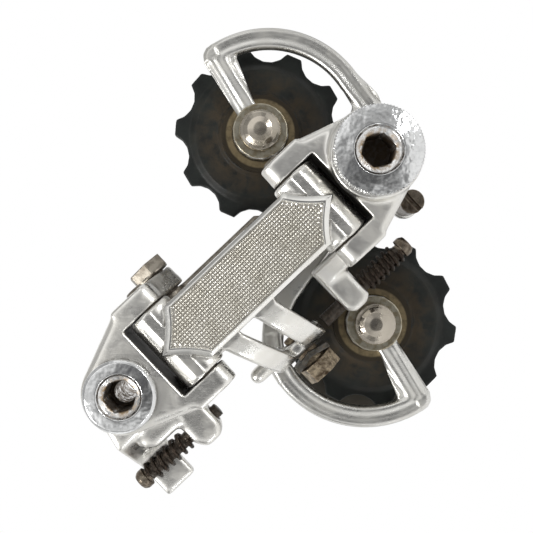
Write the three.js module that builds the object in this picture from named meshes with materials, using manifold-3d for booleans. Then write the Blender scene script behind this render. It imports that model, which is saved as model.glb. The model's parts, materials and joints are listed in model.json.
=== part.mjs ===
// Rear bicycle derailleur with a parallelogram and a two-pulley cage.
//
// Millimetres. X forward, Y inboard (towards the wheel), Z up. The origin is on the mounting bolt's
// axis, in the plane of the frame's hanger face. The pieces are laid out in the link frame: x runs
// from the mounting bolt to the cage pivot, y is inboard, and z is square to both. The whole group
// is then turned 45 degrees about Y, so that the links slope down and forward as they do on a bike.
import * as THREE from 'three';
import { mergeVertices } from 'three/addons/utils/BufferGeometryUtils.js';
import Module from 'manifold-3d';

const wasm = await Module();
wasm.setup();

// ---- driving dimensions ----
const GAP = 0.3; // clearance between touching pieces
const THROUGH = 30; // holes and cuts that pass right through run this far
const LINK_SLOPE = Math.PI / 4;
const LINK_LENGTH = 40; // pin to pin
const PIVOT_X = 72.8; // cage pivot
const PIN_FROM_BOSS = 16.4; // outer pins, from each knuckle's boss
const OUTER_PIN_Y = -11.5;
const INNER_PIN_Y = -2;
const INNER_PIN_SHIFT = 4; // inner pins, along x from the outer ones
const EAR_INSIDE = 9.2;
const EAR_OUTSIDE = 13.9;
const INNER_EAR = { from: -8.5, to: -5.2 }; // the small ears behind the plate
const OUTER_BARREL_R = 4.5;
const INNER_BARREL_R = 3.8;
const OUTER_PIN_R = 2.3;
const OUTER_END_R = 5.8; // the outer link's rounded ends, which fill the knuckles' windows
const INNER_PIN_R = 2.6;
const WINDOW_FROM_BOSS = 9.3;
const BODY_FACE_Y = -15.4; // outboard face of the knuckles and their ears
const EAR_ROOT_X = 9.6; // where an ear starts, inside the knuckle
const EAR_END_X = 20;
const EAR_BACK_Y = 2.3;
const BOLT_SHANK_R = 4.9;
const HANGER_STOP_X = { from: -12.4, to: -4 };
const CAGE = { outerFrom: 7.2, outerTo: 10.2, innerFrom: 19.8, innerTo: 21.4 };
const PULLEY_MID_Y = (CAGE.outerTo + CAGE.innerFrom) / 2;
const GUIDE = { x: 61, z: 22.5 };
const TENSION = { x: 49.4, z: -28.4 };
const STOP_SCREW = { x: 73.6, z: -13.2 };
const LOW_SCREW = { y: 0.5, z: -17.2 };
const HIGH_SCREW = { y: -1, z: -19.2 };
const ANCHOR = { x: 33.8, y: -1, radius: 2.5 };

const outerPin1 = [PIN_FROM_BOSS, OUTER_PIN_Y];
const outerPin2 = [PIN_FROM_BOSS + LINK_LENGTH, OUTER_PIN_Y];
const innerPin1 = [PIN_FROM_BOSS + INNER_PIN_SHIFT, INNER_PIN_Y];
const innerPin2 = [innerPin1[0] + LINK_LENGTH, INNER_PIN_Y];

// ---- materials ----
function finish(color, roughness, metalness) {
  return new THREE.MeshStandardMaterial({ color, roughness, metalness });
}

const polished = finish(0xc9c8c2, 0.28, 0.9);
const chrome = finish(0xd4d8da, 0.15, 1);
const zinc = finish(0x8d897d, 0.5, 0.8);
const darkSteel = finish(0x3a322b, 0.6, 0.7);
const springSteel = finish(0x2e2823, 0.55, 0.7);
const bronze = finish(0x9a7848, 0.4, 0.9);
const blackPlastic = finish(0x232522, 0.55, 0);

// ---- solids ----
function toSolid(shape) {
  if (!shape.isBufferGeometry) return shape;
  const bare = shape.clone();
  bare.deleteAttribute('normal');
  bare.deleteAttribute('uv');
  const merged = mergeVertices(bare, 1e-4);
  const vertProperties = Float32Array.from(merged.attributes.position.array);
  const triVerts = Uint32Array.from(merged.index.array);
  const solid = new wasm.Manifold(new wasm.Mesh({ numProp: 3, vertProperties, triVerts }));
  if (solid.volume() > 0) return solid;
  for (let i = 0; i < triVerts.length; i += 3) {
    [triVerts[i], triVerts[i + 1]] = [triVerts[i + 1], triVerts[i]];
  }
  return new wasm.Manifold(new wasm.Mesh({ numProp: 3, vertProperties, triVerts }));
}

const join = (...shapes) => shapes.map(toSolid).reduce((a, b) => a.add(b));
const cut = (base, ...tools) => tools.map(toSolid).reduce((a, b) => a.subtract(b), toSolid(base));

function toGeometry(shape) {
  const { vertProperties, triVerts, numProp } = toSolid(shape).getMesh();
  const positions = [];
  for (let i = 0; i < vertProperties.length; i += numProp) positions.push(...vertProperties.slice(i, i + 3));
  const geometry = new THREE.BufferGeometry();
  geometry.setAttribute('position', new THREE.Float32BufferAttribute(positions, 3));
  geometry.setIndex(Array.from(triVerts));
  geometry.computeVertexNormals();
  return geometry;
}

// An axis letter says which way a turned or drilled piece runs; [a, b] are its other two coordinates.
function alongAxis(geometry, axis, [a, b]) {
  if (axis === 'x') return geometry.rotateZ(-Math.PI / 2).translate(0, a, b);
  if (axis === 'y') return geometry.translate(a, 0, b);
  return geometry.rotateX(Math.PI / 2).translate(a, b, 0);
}

function rod(axis, radius, from, to, at, sides = 28) {
  const geometry = new THREE.CylinderGeometry(radius, radius, to - from, sides);
  geometry.translate(0, (from + to) / 2, 0);
  return alongAxis(geometry, axis, at);
}

// profile: [radius, place along the axis] pairs, starting and ending on the axis
function turned(axis, profile, at, sides = 28) {
  const points = profile.map(([r, t]) => new THREE.Vector2(r, t));
  return alongAxis(new THREE.LatheGeometry(points, sides), axis, at);
}

// A flat shape drawn in x and z, thick in y.
function plate(shape, yFrom, yTo, bevel = 0, curveSegments = 10) {
  return extruded(shape, yTo - yFrom, bevel, curveSegments).rotateX(Math.PI / 2).translate(0, yTo, 0);
}

// A flat shape drawn in x and y, thick in z.
function slab(shape, zFrom, zTo, bevel = 0, curveSegments = 8) {
  return extruded(shape, zTo - zFrom, bevel, curveSegments).translate(0, 0, zFrom);
}

function extruded(shape, thickness, bevel, curveSegments) {
  const geometry = new THREE.ExtrudeGeometry(shape, {
    depth: thickness - 2 * bevel,
    bevelEnabled: bevel > 0,
    bevelThickness: bevel,
    bevelSize: bevel,
    bevelOffset: -bevel,
    bevelSegments: 1,
    curveSegments,
  });
  return geometry.translate(0, 0, bevel);
}

function block([x0, x1], [y0, y1], [z0, z1]) {
  const geometry = new THREE.BoxGeometry(x1 - x0, y1 - y0, z1 - z0);
  return geometry.translate((x0 + x1) / 2, (y0 + y1) / 2, (z0 + z1) / 2);
}

function outline(points) {
  return new THREE.Shape(points.map(([a, b]) => new THREE.Vector2(a, b)));
}

function disc(a, b, radius) {
  return new THREE.Shape().absarc(a, b, radius, 0, 2 * Math.PI);
}

function ringSector(a, b, inner, outer, start, end) {
  const shape = new THREE.Shape();
  shape.absarc(a, b, outer, start, end, false);
  shape.absarc(a, b, inner, end, start, true);
  shape.closePath();
  return shape;
}

// A strip with round ends between two points.
function strip([a0, b0], [a1, b1], radius) {
  const turn = Math.atan2(b1 - b0, a1 - a0);
  const shape = new THREE.Shape();
  shape.absarc(a1, b1, radius, turn - Math.PI / 2, turn + Math.PI / 2, false);
  shape.absarc(a0, b0, radius, turn + Math.PI / 2, turn + 1.5 * Math.PI, false);
  shape.closePath();
  return shape;
}

function hexPrism(axis, acrossFlats, from, to, at, turn = 0) {
  const cornerRadius = acrossFlats / Math.sqrt(3);
  const geometry = new THREE.CylinderGeometry(cornerRadius, cornerRadius, to - from, 6);
  geometry.rotateY(turn);
  geometry.translate(0, (from + to) / 2, 0);
  return alongAxis(geometry, axis, at);
}

class Coil extends THREE.Curve {
  constructor(radius, length, turns) {
    super();
    this.size = { radius, length, turns };
  }

  getPoint(t, target = new THREE.Vector3()) {
    const { radius, length, turns } = this.size;
    const angle = 2 * Math.PI * turns * t;
    return target.set(radius * Math.cos(angle), length * t, radius * Math.sin(angle));
  }
}

// A coil spring whose wire centre line runs from one end to the other.
function coilSpring(axis, radius, wire, from, to, turns, at, stepsPerTurn = 9) {
  const geometry = new THREE.ExtrudeGeometry(disc(0, 0, wire / 2), {
    steps: Math.round(turns * stepsPerTurn),
    curveSegments: 3,
    bevelEnabled: false,
    extrudePath: new Coil(radius, to - from, turns),
  });
  geometry.translate(0, from, 0);
  return alongAxis(geometry, axis, at);
}

// ---- knuckles ----
// Plan of a knuckle in x and z: a round boss that widens to the fork, its ears pointing along +x.
function knucklePlan(bossRadius) {
  const shoulder = { x: 11, z: EAR_OUTSIDE };
  const reach = Math.hypot(shoulder.x, shoulder.z);
  const tangent = Math.atan2(shoulder.z, shoulder.x) + Math.acos(bossRadius / reach);
  const shape = new THREE.Shape();
  shape.moveTo(EAR_END_X, -EAR_OUTSIDE);
  shape.lineTo(EAR_END_X, EAR_OUTSIDE);
  shape.lineTo(shoulder.x, shoulder.z);
  shape.absarc(0, 0, bossRadius, tangent, 2 * Math.PI - tangent, false);
  shape.lineTo(shoulder.x, -shoulder.z);
  return shape;
}

// The outboard side of an ear, flush with the knuckle's face and rolled over at its end.
function earNose() {
  const shape = new THREE.Shape();
  shape.moveTo(EAR_ROOT_X, BODY_FACE_Y);
  shape.lineTo(PIN_FROM_BOSS + 0.6, BODY_FACE_Y);
  shape.quadraticCurveTo(EAR_END_X, BODY_FACE_Y, EAR_END_X, OUTER_PIN_Y + 0.5);
  return shape;
}

// Side view of an ear that holds both pins, in x and y.
function twoPinEar(innerPinX) {
  const shape = earNose();
  shape.absarc(innerPinX, INNER_PIN_Y, EAR_BACK_Y - INNER_PIN_Y, -0.1, Math.PI / 2, false);
  shape.lineTo(EAR_ROOT_X, EAR_BACK_Y);
  return shape;
}

// Side view of an ear that holds only the outer pin.
function onePinEar() {
  const shape = earNose();
  shape.lineTo(19.4, -8.4);
  shape.lineTo(15.5, -3);
  shape.lineTo(12, -GAP);
  shape.lineTo(EAR_ROOT_X, -GAP);
  return shape;
}

// The body of a knuckle without its holes, boss at the origin, ears along +x.
function knuckleCore(bossRadius, backY) {
  const body = plate(knucklePlan(bossRadius), BODY_FACE_Y, backY, 1.2, 12);
  const window = block([WINDOW_FROM_BOSS, 60], [-THROUGH, THROUGH], [-EAR_INSIDE, EAR_INSIDE]);
  return cut(body, window, block([11.5, 60], [-THROUGH, THROUGH], [-THROUGH, THROUGH]));
}

const outerPinHole = (x) => rod('z', OUTER_PIN_R + GAP, -THROUGH, THROUGH, [x, OUTER_PIN_Y]);
const innerPinHole = (x) => rod('z', INNER_PIN_R + GAP, -9, THROUGH, [x, INNER_PIN_Y]);

function upperBody() {
  const back = -GAP;
  const innerX = innerPin1[0];
  const hiddenEar = slab(strip([5, -3.9], innerPin1, 3.6), INNER_EAR.from, INNER_EAR.to);
  const armSide = outline([
    [-5.5, -2], [-5.5, -8.5], [3.8, -14.8], [3.8, -24.3], [7, -24.3], [7, -12.6], [back, -9.6], [back, -2],
  ]);
  const arm = extruded(armSide, HANGER_STOP_X.to - HANGER_STOP_X.from, 0, 1);
  arm.applyMatrix4(new THREE.Matrix4().makeBasis(
    new THREE.Vector3(0, 1, 0), new THREE.Vector3(0, 0, 1), new THREE.Vector3(1, 0, 0),
  ));
  arm.translate(HANGER_STOP_X.from, 0, 0);
  const taperSide = outline([[-16, 2], [-16, -14], [-12.4, -14], [-10.3, -3.5], [-9.4, 2]]);
  const armTaper = plate(taperSide, -THROUGH, THROUGH);
  const web = plate(outline([[-7, -5], [-7, -12.4], [-4.6, -13.9], [4, -13.9], [4, -5]]), -4.4, back, 0.8);
  const screwBlock = plate(
    outline([[1.6, -9], [1.6, -19], [3.4, -21.6], [7.4, -21.6], [9.2, -19.6], [9.2, -9]]), -3.6, back, 0.8,
  );
  const screwBlockBack = plate(
    outline([[1.6, -13], [1.6, -19], [3.4, -21.6], [7.4, -21.6], [9.2, -19.6], [9.2, -13]]), -2, 3.6, 0.8,
  );
  const solid = join(
    knuckleCore(8.8, back),
    slab(twoPinEar(innerX), EAR_INSIDE, EAR_OUTSIDE),
    slab(onePinEar(), -EAR_OUTSIDE, -EAR_INSIDE),
    hiddenEar, cut(arm, armTaper), web, screwBlock, screwBlockBack,
  );
  return cut(
    solid,
    rod('y', BOLT_SHANK_R + GAP, -THROUGH, THROUGH, [0, 0], 36),
    rod('y', 6.5, -1.9, 5, [0, 0], 36),
    outerPinHole(outerPin1[0]), innerPinHole(innerX),
    rod('x', 1.5 + GAP, 0, 12, [LOW_SCREW.y, LOW_SCREW.z], 16),
  );
}

function lowerBody() {
  const innerX = PIVOT_X - innerPin2[0];
  const hiddenEar = slab(strip([6, -2], [innerX, INNER_PIN_Y], 4.2), INNER_EAR.from, INNER_EAR.to);
  // the arm of the high limit screw, behind the ear on the +z side of this local frame
  const armReach = PIVOT_X - 46.4;
  const armRoot = slab(
    outline([[9, -8], [18, -7], [armReach, -4.6], [armReach, EAR_BACK_Y], [9, EAR_BACK_Y]]),
    EAR_INSIDE, EAR_OUTSIDE, 0.6,
  );
  const armBlock = plate(
    outline([
      [armReach - 6.4, 9.4], [armReach - 6.4, 21.4], [armReach - 4.8, 22.4],
      [armReach - 1.4, 22.4], [armReach, 20.8], [armReach, 9.4],
    ]), -4.6, EAR_BACK_Y, 0.7,
  );
  const local = join(
    knuckleCore(9.8, EAR_BACK_Y),
    rod('y', 9.8, -18.5, BODY_FACE_Y + 2, [0, 0], 40),
    slab(twoPinEar(innerX), -EAR_OUTSIDE, -EAR_INSIDE),
    slab(onePinEar(), EAR_INSIDE, EAR_OUTSIDE),
    hiddenEar.scale(1, 1, -1),
    armRoot, armBlock,
  );
  const turnedRound = toGeometry(local).rotateY(Math.PI).translate(PIVOT_X, 0, 0);
  return cut(
    turnedRound,
    rod('y', 7, -15, 10, [PIVOT_X, 0], 36),
    rod('y', 5.3, -THROUGH, 10, [PIVOT_X, 0], 28),
    rod('z', INNER_BARREL_R + GAP, INNER_EAR.to + 0.1, EAR_INSIDE, innerPin2, 28),
    outerPinHole(outerPin2[0]), innerPinHole(innerPin2[0]),
    rod('x', 1.5 + GAP, 40, 56, [HIGH_SCREW.y, HIGH_SCREW.z], 16),
  );
}

// ---- links ----
const PLATE_FACE_Y = -17.6;

function outerLinkPlan() {
  const x0 = 12; // points of the two end cusps
  const x1 = 60.4;
  const half = 7.15;
  const shape = new THREE.Shape();
  shape.moveTo(x0, 0);
  shape.quadraticCurveTo(x0 + 4.6, -3, x0 + 7.2, -half);
  shape.lineTo(x1 - 7.2, -half);
  shape.quadraticCurveTo(x1 - 4.6, -3, x1, 0);
  shape.quadraticCurveTo(x1 - 4.6, 3, x1 - 7.2, half);
  shape.lineTo(x0 + 7.2, half);
  shape.quadraticCurveTo(x0 + 4.6, 3, x0, 0);
  return shape;
}

// A finger that leaves the plate's edge and curves inboard; slant moves it along x as it goes.
function finger(xFrom, width, slant) {
  const side = new THREE.Shape();
  side.moveTo(-5, -17.2);
  side.bezierCurveTo(-11, -17.2, -19.5, -14, -21, -3.6);
  side.lineTo(-21, -3);
  side.lineTo(-17.6, -3);
  side.bezierCurveTo(-16.6, -9, -12, -13.6, -5, -13.8);
  const geometry = extruded(side, width, 0, 7);
  // drawn as (z, y) and thick along x
  geometry.applyMatrix4(new THREE.Matrix4().makeBasis(
    new THREE.Vector3(0, 0, 1), new THREE.Vector3(0, 1, 0), new THREE.Vector3(-1, 0, 0),
  ));
  geometry.translate(xFrom + width, 0, 0);
  const sheared = new THREE.Matrix4().makeShear(0, 0, 0, 0, -slant, 0);
  geometry.applyMatrix4(sheared);
  return geometry.translate(-slant * 7, 0, 0);
}

function outerLink() {
  const [x1] = outerPin1;
  const [x2] = outerPin2;
  const barrelEnd = EAR_INSIDE - GAP;
  const neck = (x) => block([x - 3, x + 3], [-15.5, OUTER_PIN_Y], [-6.6, 6.6]);
  // a fuller quarter and a half on the side away from the other pin
  const fullEnd = (x, from, to) => {
    const shape = new THREE.Shape();
    shape.moveTo(x, OUTER_PIN_Y);
    shape.absarc(x, OUTER_PIN_Y, OUTER_END_R, from, to, false);
    return slab(shape, -barrelEnd, barrelEnd, 0, 16);
  };
  const bridge = plate(
    outline([[25.6, -17.4], [25.6, -20.4], [27, -21], [38.6, -21], [40.2, -19.6], [40.2, -17.4]]),
    -4.4, 2.4, 0.5,
  );
  const lug = join(
    rod('x', 1.9, 21.9, 30, [1, -18], 18),
    new THREE.SphereGeometry(1.9, 18, 10).translate(21.9, 1, -18),
  );
  const solid = join(
    plate(outerLinkPlan(), PLATE_FACE_Y, -14, 0.7, 6),
    rod('z', OUTER_BARREL_R, -barrelEnd, barrelEnd, outerPin1, 32),
    rod('z', OUTER_BARREL_R, -barrelEnd, barrelEnd, outerPin2, 32),
    neck(x1), neck(x2),
    fullEnd(x1, 0.8 * Math.PI, 1.5 * Math.PI), fullEnd(x2, -0.5 * Math.PI, 0.2 * Math.PI),
    finger(21.8, 5, 0.36), finger(31.2, 5.4, 0.26), bridge, lug,
  );
  return cut(
    solid,
    rod('z', OUTER_PIN_R + GAP, -THROUGH, THROUGH, outerPin1),
    rod('z', OUTER_PIN_R + GAP, -THROUGH, THROUGH, outerPin2),
    rod('z', ANCHOR.radius + GAP, -THROUGH, -16, [ANCHOR.x, ANCHOR.y], 20),
  );
}

function innerLink() {
  const from = INNER_EAR.to + GAP + 0.2;
  const to = EAR_INSIDE - 0.4;
  const web = plate(
    outline([
      [innerPin1[0] - 1, from], [innerPin1[0] - 1, to], [46, to], [48.6, 6.6],
      [innerPin2[0], 6.6], [innerPin2[0], from],
    ]), INNER_PIN_Y + 0.2, INNER_PIN_Y + 3, 0.5,
  );
  const solid = join(
    web,
    rod('z', INNER_BARREL_R, from, to, innerPin1, 28),
    rod('z', INNER_BARREL_R, from, 6.6, innerPin2, 28),
  );
  const springRoom = block([innerPin1[0] - 6, innerPin1[0] + 5.4], [-8, 6], [-1.4, 5]);
  return cut(
    solid, springRoom,
    rod('z', INNER_PIN_R + GAP, -THROUGH, THROUGH, innerPin1, 24),
    rod('z', INNER_PIN_R + GAP, -THROUGH, THROUGH, innerPin2, 24),
  );
}

function returnSpring() {
  const radius = 3.65;
  const wire = 1.2;
  return coilSpring('z', radius, wire, -0.5, 4.1, 3.5, innerPin1, 11);
}

function clampWasher() {
  // a bent tab washer: two wings that fold towards the cable
  const section = outline([
    [29.2, -23.6], [ANCHOR.x, -22.5], [38.4, -23.6], [38.4, -22.4], [ANCHOR.x, -21.3], [29.2, -22.4],
  ]);
  const boltHole = rod('z', ANCHOR.radius + GAP, -THROUGH, -16, [ANCHOR.x, ANCHOR.y], 20);
  return cut(plate(section, -5.6, 3.6), boltHole);
}

function anchorBolt() {
  return join(
    rod('z', ANCHOR.radius, -25, -16.4, [ANCHOR.x, ANCHOR.y], 20),
    hexPrism('z', 7.6, -27.7, -24, [ANCHOR.x, ANCHOR.y], 0.35),
  );
}

// ---- bolts, pins and screws ----
function mountingBolt() {
  const body = turned('y', [
    [0, -18], [7.1, -18], [7.65, -17.5], [7.65, -15.6], [7.5, -15.5], [BOLT_SHANK_R, -15.5],
    [BOLT_SHANK_R, -1.7], [4.1, -1.7], [4.1, -0.6], [BOLT_SHANK_R, -0.6],
    [BOLT_SHANK_R, 7.4], [4.4, 8], [0, 8],
  ], [0, 0], 40);
  return cut(
    body,
    turned('y', [[0, -18.5], [5.1, -18.5], [4.3, -17.2], [3.3, -16.6], [0, -16.6]], [0, 0], 32),
    hexPrism('y', 6.2, -18.5, -9, [0, 0]),
    rod('y', 2.4, -12, 12, [0, 0], 20),
  );
}

function boltClip() {
  const shape = ringSector(0, 0, 4.4, 6.1, 0.35, 2 * Math.PI - 0.35);
  return plate(shape, -1.5, -0.8, 0, 16);
}

function cagePivotBolt() {
  const teeth = 80;
  const rim = [];
  for (let i = 0; i < 2 * teeth; i += 1) {
    const radius = i % 2 ? 9.3 : 9.0;
    const angle = (i * Math.PI) / teeth;
    rim.push([radius * Math.cos(angle) + PIVOT_X, radius * Math.sin(angle)]);
  }
  const body = join(
    plate(outline(rim), -21.4, -19.2),
    turned('y', [
      [0, -22], [8.2, -22], [8.9, -21.3], [8.9, -19], [8.4, -18.8], [4, -18.8], [4, 10], [0, 10],
    ], [PIVOT_X, 0], 36),
  );
  return cut(
    body,
    turned('y', [[0, -22.5], [5.5, -22.5], [4.6, -21.2], [3.4, -20.6], [0, -20.6]], [PIVOT_X, 0], 32),
    hexPrism('y', 6.3, -22.5, -14, [PIVOT_X, 0]),
  );
}

function outerPinPiece(x) {
  return turned('z', [
    [0, -EAR_OUTSIDE], [OUTER_PIN_R - 0.4, -EAR_OUTSIDE], [OUTER_PIN_R, 0.4 - EAR_OUTSIDE],
    [OUTER_PIN_R, EAR_OUTSIDE], [OUTER_PIN_R - 0.5, EAR_OUTSIDE + 0.5], [0, EAR_OUTSIDE + 0.5],
  ], [x, OUTER_PIN_Y], 24);
}

function innerPivotBolt() {
  return join(
    rod('z', INNER_PIN_R, -8.5, EAR_OUTSIDE + 1, innerPin1, 24),
    rod('z', 4.2, EAR_OUTSIDE + GAP, EAR_OUTSIDE + 0.8, innerPin1, 28),
    hexPrism('z', 8, EAR_OUTSIDE + 0.6, EAR_OUTSIDE + 3.4, innerPin1, 0.2),
  );
}

function limitScrew(tip, headFrom, { y, z }, headSide) {
  // headSide is -1 when the head is on the -x side
  const head = turned('x', [[0, 0], [2.3, 0], [2.3, 1.4], [1.8, 2.2], [0, 2.4]], [0, 0], 20);
  if (headSide < 0) head.rotateY(Math.PI);
  head.translate(headFrom, y, z);
  const inHead = headFrom + headSide;
  const shank = rod('x', 1.5, Math.min(tip, inHead), Math.max(tip, inHead), [y, z], 14);
  const slotAt = headFrom + headSide * 2.2;
  const slot = block([slotAt - 0.9, slotAt + 0.9], [y - 0.4, y + 0.4], [z - 3, z + 3]);
  return cut(join(head, shank), slot);
}

function cageStopScrew() {
  const { x, z } = STOP_SCREW;
  return cut(
    join(rod('y', 2.7, -3.6, 6.9, [x, z], 24), rod('y', 1.6, 6, 10.2, [x, z], 16)),
    block([x - 0.45, x + 0.45], [-5, -2.4], [z - 4, z + 4]),
  );
}

// ---- cage ----
const ARC = { dx: 0.9, dz: -2, inner: 20.2, outer: 25.4 }; // bow centre from the pulley's axis
const middle = { x: (GUIDE.x + TENSION.x) / 2, z: (GUIDE.z + TENSION.z) / 2 };
const opposite = ([x, z]) => [2 * middle.x - x, 2 * middle.z - z];

// One half of the S: a bow round the pulley, a corner, and a straight arm back to the pulley's bolt.
function cageBow(side) {
  const place = side > 0 ? (p) => p : opposite;
  const centre = place([GUIDE.x + ARC.dx, GUIDE.z + ARC.dz]);
  const turn = side > 0 ? 0 : Math.PI;
  const [start, end] = [turn - 0.2, turn + 1.36];
  const arm = [
    [58.6, 22.5], [59.6, 28], [61.9, 40], [62.5, 43.2], [63.7, 44.9], [65.2, 45.5], [67.1, 45.3],
    [69.4, 40.1], [64.6, 28], [63.4, 22.5],
  ];
  const axis = place([GUIDE.x, GUIDE.z]);
  const grooveMiddle = (ARC.inner + ARC.outer) / 2;
  const groove = ringSector(...centre, grooveMiddle - 0.6, grooveMiddle + 0.6, start, end);
  const { outerFrom: from, outerTo: to } = CAGE;
  const solid = join(
    plate(ringSector(...centre, ARC.inner, ARC.outer, start, end), from, to, 0.8, 11),
    plate(outline(arm.map(place)), from, to, 0.8),
    plate(disc(...axis, 6.6), from, to, 0.5, 7),
  );
  return cut(
    solid,
    plate(groove, from - 1, from + 0.7, 0, 11),
    plate(strip(place([62.1, 30]), place([64.9, 41.4]), 0.6), from - 1, from + 0.7, 0, 4),
    rod('y', 2.8, from - 1, to + 1, axis, 20),
  );
}

function cageOuterPlate() {
  const { outerFrom: from, outerTo: to } = CAGE;
  const shoulder = outline([
    [87.1, 17], [87.1, 10], [85.6, 5.4], [82.6, 3], [74, 3], [76, 9], [80.9, 12], [82, 17],
  ]);
  const bar = outline([
    [23.6, -22], [24.3, -17.5], [26.6, -14], [30.7, -10.3], [36, -7], [64, 4], [70, 6], [72, -8], [66, -7],
    [40, -12], [34, -14.2], [30.6, -17.4], [28.9, -22],
  ]);
  const solid = join(
    cageBow(1), cageBow(-1),
    plate(shoulder, from, to, 0.6),
    plate(bar, from, to, 0.6),
    plate(disc(PIVOT_X, 0, 10.4), from, to, 0.5, 11),
    rod('y', 8.8, 3.2, from + 1, [PIVOT_X, 0], 28),
    plate(strip([PIVOT_X, -6], [STOP_SCREW.x, STOP_SCREW.z], 3.2), from, to, 0.4, 8),
  );
  return cut(
    solid,
    rod('y', 4 + GAP, 0, 20, [PIVOT_X, 0], 28),
    rod('y', 1.6 + GAP, 5, 20, [STOP_SCREW.x, STOP_SCREW.z], 16),
  );
}

function cageInnerPlate() {
  const { innerFrom: from, innerTo: to } = CAGE;
  const ends = [[GUIDE.x, GUIDE.z], [TENSION.x, TENSION.z]];
  const bowCentre = opposite([GUIDE.x + ARC.dx, GUIDE.z + ARC.dz]);
  const bow = ringSector(...bowCentre, ARC.inner - 2.8, ARC.outer, Math.PI - 0.1, Math.PI + 1.36);
  const bowArm = [[59.8, 24], [63.3, 43.6], [67.5, 45.2], [69.4, 40.1], [64, 24]].map(opposite);
  const solid = join(
    plate(strip(ends[0], ends[1], 5), from, to, 0, 4),
    ...ends.map(([x, z]) => plate(disc(x, z, 9.5), from, to, 0, 12)),
    plate(bow, from, to, 0, 11),
    plate(outline(bowArm), from, to),
  );
  return cut(
    solid,
    ...ends.map((at) => rod('y', 2.8, from - 1, to + 1, at, 20)),
    plate(strip([57.5, 7], [52.9, -13], 1.9), from - 1, to + 1, 0, 6),
  );
}

// ---- pulleys ----
const PULLEY = { teeth: 10, tip: 20.7, root: 17.8, valley: 5.6 };

function pulleyPlan(cx, cz, firstTooth) {
  const { teeth, tip, root, valley } = PULLEY;
  const shape = new THREE.Shape();
  const points = [];
  const centreR = root + valley;
  // half angle at the pulley's axis where a valley arc meets the tip circle
  const meetAngle = Math.acos((centreR ** 2 + tip ** 2 - valley ** 2) / (2 * centreR * tip));
  const arcHalf = Math.asin((tip * Math.sin(meetAngle)) / valley);
  for (let i = 0; i < teeth; i += 1) {
    const middleAngle = firstTooth + ((i + 0.5) * 2 * Math.PI) / teeth;
    const vx = cx + centreR * Math.cos(middleAngle);
    const vz = cz + centreR * Math.sin(middleAngle);
    for (let k = 0; k <= 5; k += 1) {
      const angle = middleAngle + Math.PI + arcHalf * (1 - (2 * k) / 5);
      points.push([vx + valley * Math.cos(angle), vz + valley * Math.sin(angle)]);
    }
  }
  shape.setFromPoints(points.map(([a, b]) => new THREE.Vector2(a, b)));
  return shape;
}

function pulleyWheel({ x, z }, firstTooth) {
  const mid = PULLEY_MID_Y;
  const web = turned('y', [
    [0, mid - 3.5], [9.6, mid - 3.5], [10.2, mid - 2.6], [15.6, mid - 2.6], [17.2, mid - 1.3],
    [17.2, mid + 1.3], [15.6, mid + 2.6], [10.2, mid + 2.6], [9.6, mid + 3.5], [0, mid + 3.5],
  ], [x, z], 40);
  return cut(
    join(plate(pulleyPlan(x, z, firstTooth), mid - 1.4, mid + 1.4), web),
    rod('y', 4 + GAP, 0, THROUGH, [x, z], 24),
  );
}

// A flat ring or a tube along y.
function annulus(yFrom, yTo, inner, outer, { x, z }, sides = 28) {
  const whole = rod('y', outer, yFrom, yTo, [x, z], sides);
  return cut(whole, rod('y', inner, yFrom - 1, yTo + 1, [x, z], sides));
}

function pulleyBolt({ x, z }) {
  const { innerTo } = CAGE;
  return cut(
    join(
      rod('y', 2.5, 4.7, innerTo + 1, [x, z], 20),
      turned('y', [
        [0, innerTo + GAP], [4.3, innerTo + GAP], [4.3, innerTo + 1.8],
        [3.4, innerTo + 2.6], [0, innerTo + 2.6],
      ], [x, z], 24),
    ),
    block([x - 5, x + 5], [innerTo + 1.6, innerTo + 4], [z - 0.5, z + 0.5]),
  );
}

function capNut({ x, z }) {
  const base = 5.9;
  const profile = [[0, 2.6]];
  const steps = 5;
  for (let i = 1; i <= steps; i += 1) {
    const angle = (i / steps) * (Math.PI / 2);
    profile.push([4.9 * Math.sin(angle), 5.2 - 2.6 * Math.cos(angle)]);
  }
  profile.push([4.9, base], [0, base]);
  return cut(turned('y', profile, [x, z], 22), rod('y', 2.8, 4.4, base + 1, [x, z], 14));
}

// ---- assembly ----
const derailleur = new THREE.Group();
const linkFrame = new THREE.Group();
linkFrame.rotation.y = LINK_SLOPE;
derailleur.add(linkFrame);

function add(name, shape, material) {
  const mesh = new THREE.Mesh(toGeometry(shape), material);
  mesh.name = name;
  linkFrame.add(mesh);
}

add('mounting_bolt', mountingBolt(), chrome);
add('mounting_bolt_clip', boltClip(), darkSteel);
add('upper_body', upperBody(), polished);
add('upper_outer_pin', outerPinPiece(outerPin1[0]), chrome);
add('inner_pivot_bolt', innerPivotBolt(), zinc);
add('low_limit_screw', limitScrew(10.3, -11.6, LOW_SCREW, -1), darkSteel);
add('low_limit_spring', coilSpring('x', 2.2, 1, -10.7, 0.7, 6, [LOW_SCREW.y, LOW_SCREW.z]), springSteel);

add('outer_link', outerLink(), polished);
add('inner_link', innerLink(), zinc);
add('return_spring', returnSpring(), springSteel);
add('clamp_washer', clampWasher(), darkSteel);
add('anchor_bolt', anchorBolt(), darkSteel);

add('lower_body', lowerBody(), polished);
add('lower_outer_pin', outerPinPiece(outerPin2[0]), chrome);
add('lower_inner_pin', rod('z', INNER_PIN_R, -8.5, EAR_OUTSIDE, innerPin2, 24), chrome);
add('high_limit_screw', limitScrew(41.2, 64.6, HIGH_SCREW, 1), darkSteel);
add('high_limit_spring', coilSpring('x', 2.2, 1, 53.4, 63.7, 7, [HIGH_SCREW.y, HIGH_SCREW.z]), springSteel);
add('pivot_bush', annulus(-18.4, -4, 4.3, 5, { x: PIVOT_X, z: 0 }), bronze);
add('cage_spring', coilSpring('y', 6, 1.4, -13.9, 1.9, 7, [PIVOT_X, 0]), springSteel);

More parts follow.
